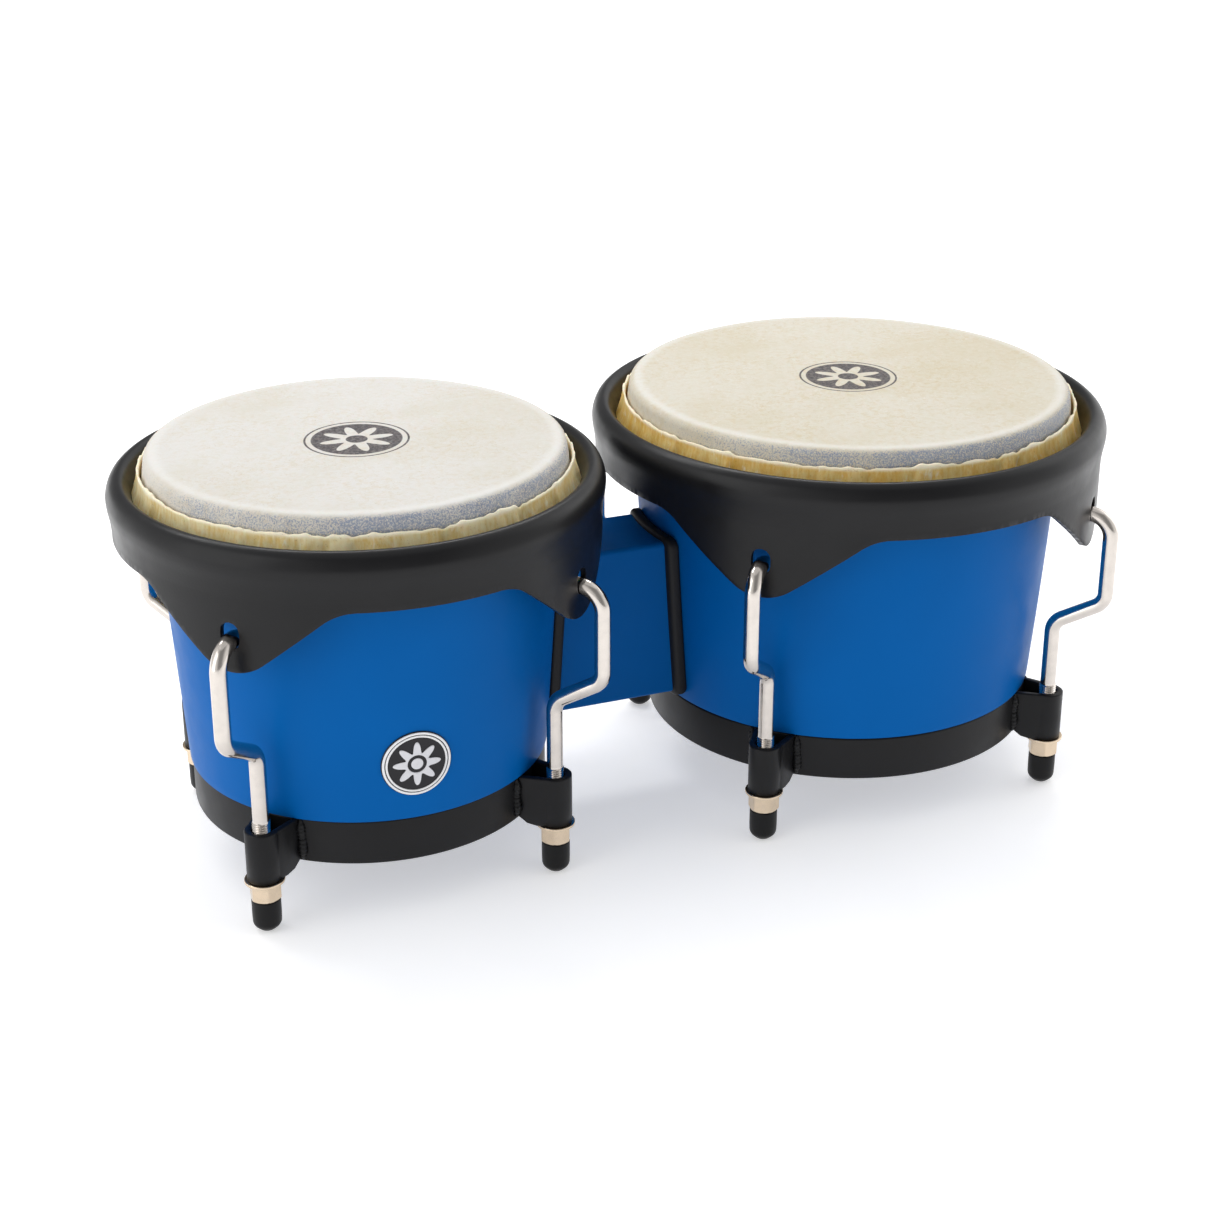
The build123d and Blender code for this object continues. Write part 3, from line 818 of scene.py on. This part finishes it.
def make_brackets(drum):
    """Four brackets; the CAD node that holds them all is hidden."""
    straps = [make_bracket(drum, number, angle) for number, angle in enumerate(LUG_ANGLES, 1)]
    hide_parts(drum.node("lug_brackets"))


# ---- tuning lugs, nuts, washers and caps --------------------
ROD_R = 3.15 * MM
THREAD_R = 3.5 * MM
PITCH = 1.0 * MM
JOG = 20.4 * MM             # outward step of the rod
JOG_LOW, JOG_HIGH, JOG_R = 74.3 * MM, 86.3 * MM, 7.5 * MM
HOOK_START, HOOK_R, HOOK_END = 115.0 * MM, 9.5 * MM, 6.5 * MM
HOOK_ANGLE = math.radians(120)
THREAD_LOW, THREAD_TOP = 3.0 * MM, 46.0 * MM
THREAD_END = THREAD_TOP + 0.8 * MM
ROD_SIDES = 28


def lug_path():
    """Middle line of a lug above its thread, in the lug's radial plane."""
    line = rounded([(0, THREAD_END), (0, JOG_LOW), (JOG, JOG_HIGH), (JOG, HOOK_START)],
                   [0, JOG_R, JOG_R, 0], 16, close=False)
    dense = []
    for a, b in zip(line[:-1], line[1:]):
        parts = max(1, int(np.linalg.norm(b - a) / (4 * MM)))
        dense += [a + (b - a) * k / parts for k in range(parts)]
    centre = np.array((JOG - HOOK_R, HOOK_START))
    hook = [centre + HOOK_R * np.array((math.cos(t), math.sin(t)))
            for t in np.linspace(0, HOOK_ANGLE, 32)]
    along = np.array((-math.sin(HOOK_ANGLE), math.cos(HOOK_ANGLE)))
    tip = [hook[-1] + along * s * HOOK_END for s in (0.35, 0.7, 0.88, 0.96, 1.0)]
    return [(x, 0, z) for x, z in [*dense, *hook, *tip]]


def thread_rings():
    """Rings of points up the thread, which is cut only where it shows."""
    levels = []
    for low, high, cut in ((THREAD_LOW, 12.4 * MM, False), (12.4 * MM, 21.0 * MM, True),
                           (21.0 * MM, 38.0 * MM, False), (38.0 * MM, THREAD_TOP, True)):
        levels += [(z, cut) for z in np.arange(low, high, PITCH / 8 if cut else 2 * MM)]
    levels += [(THREAD_TOP, False), (THREAD_TOP + 0.6 * MM, None), (THREAD_END, None)]
    points = []
    for z, cut in levels:
        for j in range(ROD_SIDES):
            turn = 2 * math.pi * j / ROD_SIDES
            radius = THREAD_R - 0.28 * MM
            if cut:
                radius = THREAD_R - 0.62 * MM * abs(2 * ((z / PITCH - j / ROD_SIDES) % 1.0) - 1)
            if cut is None:
                radius = ROD_R
            points.append(polar(radius, turn, z))
    return points, grid_faces(len(levels), ROD_SIDES, close_columns=True)


def make_lug(drum, number, angle):
    """Tuning lug: threaded foot, jogged rod and hook with a rounded tip."""
    path = lug_path()
    radii = [ROD_R] * (len(path) - 2) + [ROD_R * 0.93, ROD_R * 0.78]
    points, faces = tube_along(path, radii, ROD_SIDES)
    thread_points, thread_faces = thread_rings()
    start = len(points)
    shaft = faces[:-2] + [faces[-1]]
    thread = [tuple(start + k for k in face) for face in thread_faces]
    foot = tuple(start + k for k in range(ROD_SIDES))
    lug = make_piece(f"{drum.name}_lug_{number}", placed(points + thread_points, drum.at_lug(angle)),
                     shaft + thread + [foot], LUG_PLATING, 50)
    attach(lug, drum.body, "lug_nickel", drum.node(f"tuning_lug_{number}"))


def make_nut(drum, number, angle):
    """Hex nut with turned chamfers, from its CAD node's heights."""
    low, high = (corner.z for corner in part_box(drum.node(f"nut_{number}")))
    flat_r = 11.0 * MM / 2
    corner_r = flat_r / math.cos(math.pi / 6) - 0.10 * MM
    sides = 96
    angles = [2 * math.pi * j / sides for j in range(sides)]
    bore = THREAD_R + 0.06 * MM
    levels = [0.0, 0.12, 0.25, 0.4, 0.6, 0.85, 1.1]
    heights = [low + v * MM for v in levels] + [(low + high) / 2]
    heights += [high - v * MM for v in reversed(levels)]
    points = []
    turn = math.radians(12 if number % 2 else 22)
    for z in heights:
        from_end = min(z - low, high - z)
        chamfer_r = flat_r * 0.985 + from_end * 1.55
        for a in angles:
            from_middle = (a + math.pi / 6) % (math.pi / 3) - math.pi / 6
            points.append(polar(min(flat_r / math.cos(from_middle), corner_r, chamfer_r), a + turn, z))
    lead = 0.3 * MM
    for z, r in ((high, bore + lead), (high - lead, bore), (low + lead, bore), (low, bore + lead)):
        points += [polar(r, a + turn, z) for a in angles]
    faces = grid_faces(len(heights) + 4, sides, close_rows=True, close_columns=True)
    nut = make_piece(f"{drum.name}_hex_nut_{number}", placed(points, drum.at_lug(angle)), faces,
                     NUT_PLATING, 24)
    attach(nut, drum.node(f"nut_{number}"), "nut_nickel", drum.node(f"nut_{number}"))


def make_washer(drum, number, angle):
    low, high = (corner.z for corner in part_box(drum.node(f"washer_{number}")))
    hole_r, washer_r = 3.8 * MM, 7.7 * MM
    section = rounded([(hole_r, low), (washer_r, low), (washer_r, high), (hole_r, high)],
                      [0.15 * MM, 0.2 * MM, 0.25 * MM, 0.15 * MM], 4)
    points, faces = turned(section, 72)
    washer = make_piece(f"{drum.name}_flat_washer_{number}", placed(points, drum.at_lug(angle)), faces,
                        NUT_PLATING, 40)
    attach(washer, "root", "nut_nickel", drum.node(f"washer_{number}"))


def make_cap(drum, number, angle):
    """Moulded rubber cap: domed tip with its small flat, straight wall and soft mouth."""
    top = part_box(drum.node(f"foot_cap_{number}"))[1].z
    cap_r, middle_r = 5.6 * MM, 0.01 * MM
    corners = [(0, 0), (2.6 * MM, 0), (cap_r - 0.15 * MM, 2.6 * MM), (cap_r, 6.5 * MM), (cap_r, top),
               (THREAD_R, top)]
    dome = rounded(corners, [0, 2.6 * MM, 3.2 * MM, 2.0 * MM, 0.6 * MM, 0], 8, close=False)
    section = [(max(x, middle_r), z) for x, z in dome[:-1]]
    section += [(THREAD_R + 0.25 * MM, top), (THREAD_R, top - 0.3 * MM), (THREAD_R, THREAD_LOW),
                (middle_r, THREAD_LOW)]
    points, faces = turned(section, 48, closed=False)
    cap = make_piece(f"{drum.name}_rubber_cap_{number}", placed(points, drum.at_lug(angle)), faces,
                     CAP_RUBBER, 50)
    attach(cap, drum.body, "cap_rubber", drum.node(f"foot_cap_{number}"))


# ---- bridge --------------------
def slice_across(block, centre, normal):
    bmesh.ops.bisect_plane(block, geom=block.verts[:] + block.edges[:] + block.faces[:],
                           plane_co=centre, plane_no=normal)


def make_gasket(drum):
    """Curved rubber pad between a shell and the block: a soft-edged slab wrapped round the shell."""
    low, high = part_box(drum.node("gasket"))
    thick = 5.0 * MM
    half = (high.y - low.y) / 2
    block = bmesh.new()
    bmesh.ops.create_cube(block, size=1.0)
    bmesh.ops.scale(block, vec=(thick, 2 * half, high.z - low.z), verts=block.verts)
    along = [e for e in block.edges if abs(e.verts[0].co.x - e.verts[1].co.x) > thick / 2]
    bmesh.ops.bevel(block, geom=along, offset=4.5 * MM, segments=8, affect="EDGES", profile=0.5)
    rim_edges = [e for e in block.edges if e.calc_face_angle(0) > math.radians(60)]
    bmesh.ops.bevel(block, geom=rim_edges, offset=1.7 * MM, segments=5, affect="EDGES", profile=0.5)
    for y in np.arange(-half + 2 * MM, half, 1.5 * MM):
        slice_across(block, (0, y, 0), (0, 1, 0))
    for z in np.arange(-0.5, 0.5, 0.08) * (high.z - low.z):
        slice_across(block, (0, 0, z), (0, 0, 1))
    way = 1 if drum is MACHO else -1
    for v in block.verts:
        z = v.co.z + (low.z + high.z) / 2
        radius = shell_radius(drum, z) + v.co.x + thick / 2
        x = drum.x + way * math.sqrt(radius ** 2 - v.co.y ** 2)
        v.co = Vector((x, v.co.y, z))
    block.verts.index_update()
    faces = [[v.index for v in face.verts] for face in block.faces]
    pad = make_piece(drum.node("gasket_pad"), [v.co for v in block.verts], faces, GASKET_RUBBER, 50)
    block.free()
    attach(pad, "root", "gasket_rubber", drum.node("gasket"))


# ---- badge --------------------
BADGE_ANGLE = -91.4
BADGE_Z = 66.5 * MM


def on_badge(points, height):
    """Puts flat badge points (across, up) on the macho's shell at a height above its paint."""
    put = []
    for u, v in points:
        z = BADGE_Z + v
        radius = shell_radius(MACHO, z) + height
        side = math.asin(u / radius)
        turn = math.radians(BADGE_ANGLE) + side
        put.append((MACHO.x + radius * math.cos(turn), radius * math.sin(turn), z))
    return put


def badge_layer(name, outline_r, inner_r, low, high, finish, lobes=0, depth=0.0):
    """Raised ring or lobed disc of the badge, from its outer to its inner outline."""
    steps = 192
    bevel = 0.15 * MM
    rows = [(inner_r, low), (inner_r, high - bevel), (inner_r + bevel, high)]
    rows += [(inner_r + (outline_r - inner_r) * s, high) for s in np.linspace(0.15, 0.85, 6)]
    rows += [(outline_r - bevel, high), (outline_r, high - bevel), (outline_r, low)]
    points = []
    for r, height in rows:
        share = (r - inner_r) / (outline_r - inner_r)
        ring = []
        for k in range(steps):
            a = 2 * math.pi * k / steps
            reach = r * (1 - depth * share * (0.5 - 0.5 * math.cos(lobes * a)))
            ring.append((reach * math.cos(a), reach * math.sin(a)))
        points += on_badge(ring, height)
    faces = grid_faces(len(rows), steps, close_rows=True, close_columns=True)
    layer = make_piece(name, points, faces, finish, 50)
    attach(layer, "root", "badge_metal")
    return layer


def make_badge():
    """Generic round badge: two white rings, a dark field and an eight-petal rosette."""
    middle, low, high = 0.05 * MM, 0.4 * MM, 0.95 * MM
    plate = badge_layer("badge_base", 13.5 * MM, middle, -0.1 * MM, 0.6 * MM, BADGE_BLACK)
    badge_layer("badge_outer_ring", 13.2 * MM, 12.3 * MM, low, high, BADGE_WHITE)
    badge_layer("badge_inner_ring", 11.9 * MM, 11.1 * MM, low, high, BADGE_WHITE)
    badge_layer("badge_rosette", 9.2 * MM, 3.7 * MM, low, high, BADGE_SILVER, PETALS, 0.52)
    badge_layer("badge_button", 2.3 * MM, middle, low, high, BADGE_SILVER)
    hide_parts("macho_badge")


# ---- the object --------------------
for drum in DRUMS:
    make_shell(drum)
    make_head(drum)
    make_fold(drum)
    make_rim(drum)
    make_bottom_ring(drum)
    make_brackets(drum)
    make_gasket(drum)
    for number, angle in enumerate(LUG_ANGLES, 1):
        make_lug(drum, number, angle)
        make_nut(drum, number, angle)
        make_washer(drum, number, angle)
        make_cap(drum, number, angle)
make_badge()

KEPT_NODES = {"bridge_block": BLOCK_PAINT, "bridge_rod_lower": BOLT_STEEL, "bridge_rod_upper": BOLT_STEEL}
for drum in DRUMS:
    KEPT_NODES[drum.node("flesh_hoop")] = HOOP_STEEL
    KEPT_NODES[drum.node("backing_plate")] = BOLT_STEEL
    KEPT_NODES[drum.node("bridge_nuts")] = BOLT_STEEL
for name, finish in KEPT_NODES.items():
    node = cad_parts[name]
    node.data.materials.clear()
    node.data.materials.append(finish)


# ---- studio --------------------
def make_floor():
    """White table, lit a little from within so that shadows on it stay pale."""
    mesh = bpy.data.meshes.new("floor")
    mesh.from_pydata([(-30, -30, 0), (30, -30, 0), (30, 30, 0), (-30, 30, 0)], [], [(0, 1, 2, 3)])
    floor = bpy.data.objects.new("floor", mesh)
    bpy.context.scene.collection.objects.link(floor)
    floor.location.z = -0.0002
    finish = Finish("floor", Roughness=0.6, Specular_IOR_Level=0.1, Base_Color=(0.86, 0.86, 0.865, 1.0),
                    Emission_Color=(1.0, 1.0, 1.0, 1.0), Emission_Strength=0.45)
    mesh.materials.append(finish.material)


def add_light(kind, name, energy, location, **settings):
    """Lamp aimed at the middle of the drums."""
    lamp = bpy.data.lights.new(name, kind)
    lamp.energy = energy
    for key, value in settings.items():
        setattr(lamp, key, value)
    holder = bpy.data.objects.new(name, lamp)
    bpy.context.scene.collection.objects.link(holder)
    holder.location = location
    aim = Vector((0, 0, 0.08)) - holder.location
    holder.rotation_euler = aim.to_track_quat("-Z", "Y").to_euler()


def make_world():
    """Soft white room: bright walls to the left and right, dimmer ceiling, front and back."""
    world = bpy.data.worlds.new("studio")
    bpy.context.scene.world = world
    world.use_nodes = True
    tree = world.node_tree
    where = tree.nodes.new("ShaderNodeTexCoord").outputs["Generated"]
    parts = tree.nodes.new("ShaderNodeSeparateXYZ")
    tree.links.new(where, parts.inputs[0])
    sideways = tree.nodes.new("ShaderNodeMath")
    sideways.operation = "ABSOLUTE"
    tree.links.new(parts.outputs["X"], sideways.inputs[0])
    strength = tree.nodes.new("ShaderNodeMapRange")
    strength.interpolation_type = "SMOOTHSTEP"
    for key, value in (("From Min", 0.2), ("From Max", 0.8), ("To Min", 0.30), ("To Max", 0.95)):
        strength.inputs[key].default_value = value
    tree.links.new(sideways.outputs[0], strength.inputs["Value"])
    tree.links.new(strength.outputs["Result"], tree.nodes["Background"].inputs["Strength"])
    tree.nodes["Background"].inputs["Color"].default_value = (1, 1, 1, 1)


def make_camera():
    """Camera to the left, in front and above, with a product shot's short telephoto lens."""
    camera = bpy.data.cameras.new("camera")
    holder = bpy.data.objects.new("camera", camera)
    bpy.context.scene.collection.objects.link(holder)
    azimuth, pitch = math.radians(21.674), math.radians(21.443)
    level = math.cos(pitch)
    ahead = Vector((math.sin(azimuth) * level, math.cos(azimuth) * level, -math.sin(pitch)))
    holder.location = (-0.3085, -0.75595, 0.44482)
    holder.rotation_euler = ahead.to_track_quat("-Z", "Y").to_euler()
    camera.sensor_width = 36
    camera.lens = 63.69
    camera.shift_y = -0.0799
    camera.clip_start, camera.clip_end = 0.05, 100
    bpy.context.scene.camera = holder


make_floor()
make_world()
add_light("SUN", "overhead", 0.40, (0.15, 0.25, 2.0), angle=math.radians(70))
add_light("AREA", "left_softbox", 7, (-1.6, -0.3, 0.7), shape="RECTANGLE", size=1.2, size_y=1.6)
add_light("AREA", "right_softbox", 5, (1.7, 0.2, 0.7), shape="RECTANGLE", size=1.2, size_y=1.6)
add_light("AREA", "top_strip", 13, (0.0, 0.75, 1.3), shape="RECTANGLE", size=1.8, size_y=0.25)
make_camera()
bpy.context.scene.view_settings.view_transform = "Standard"
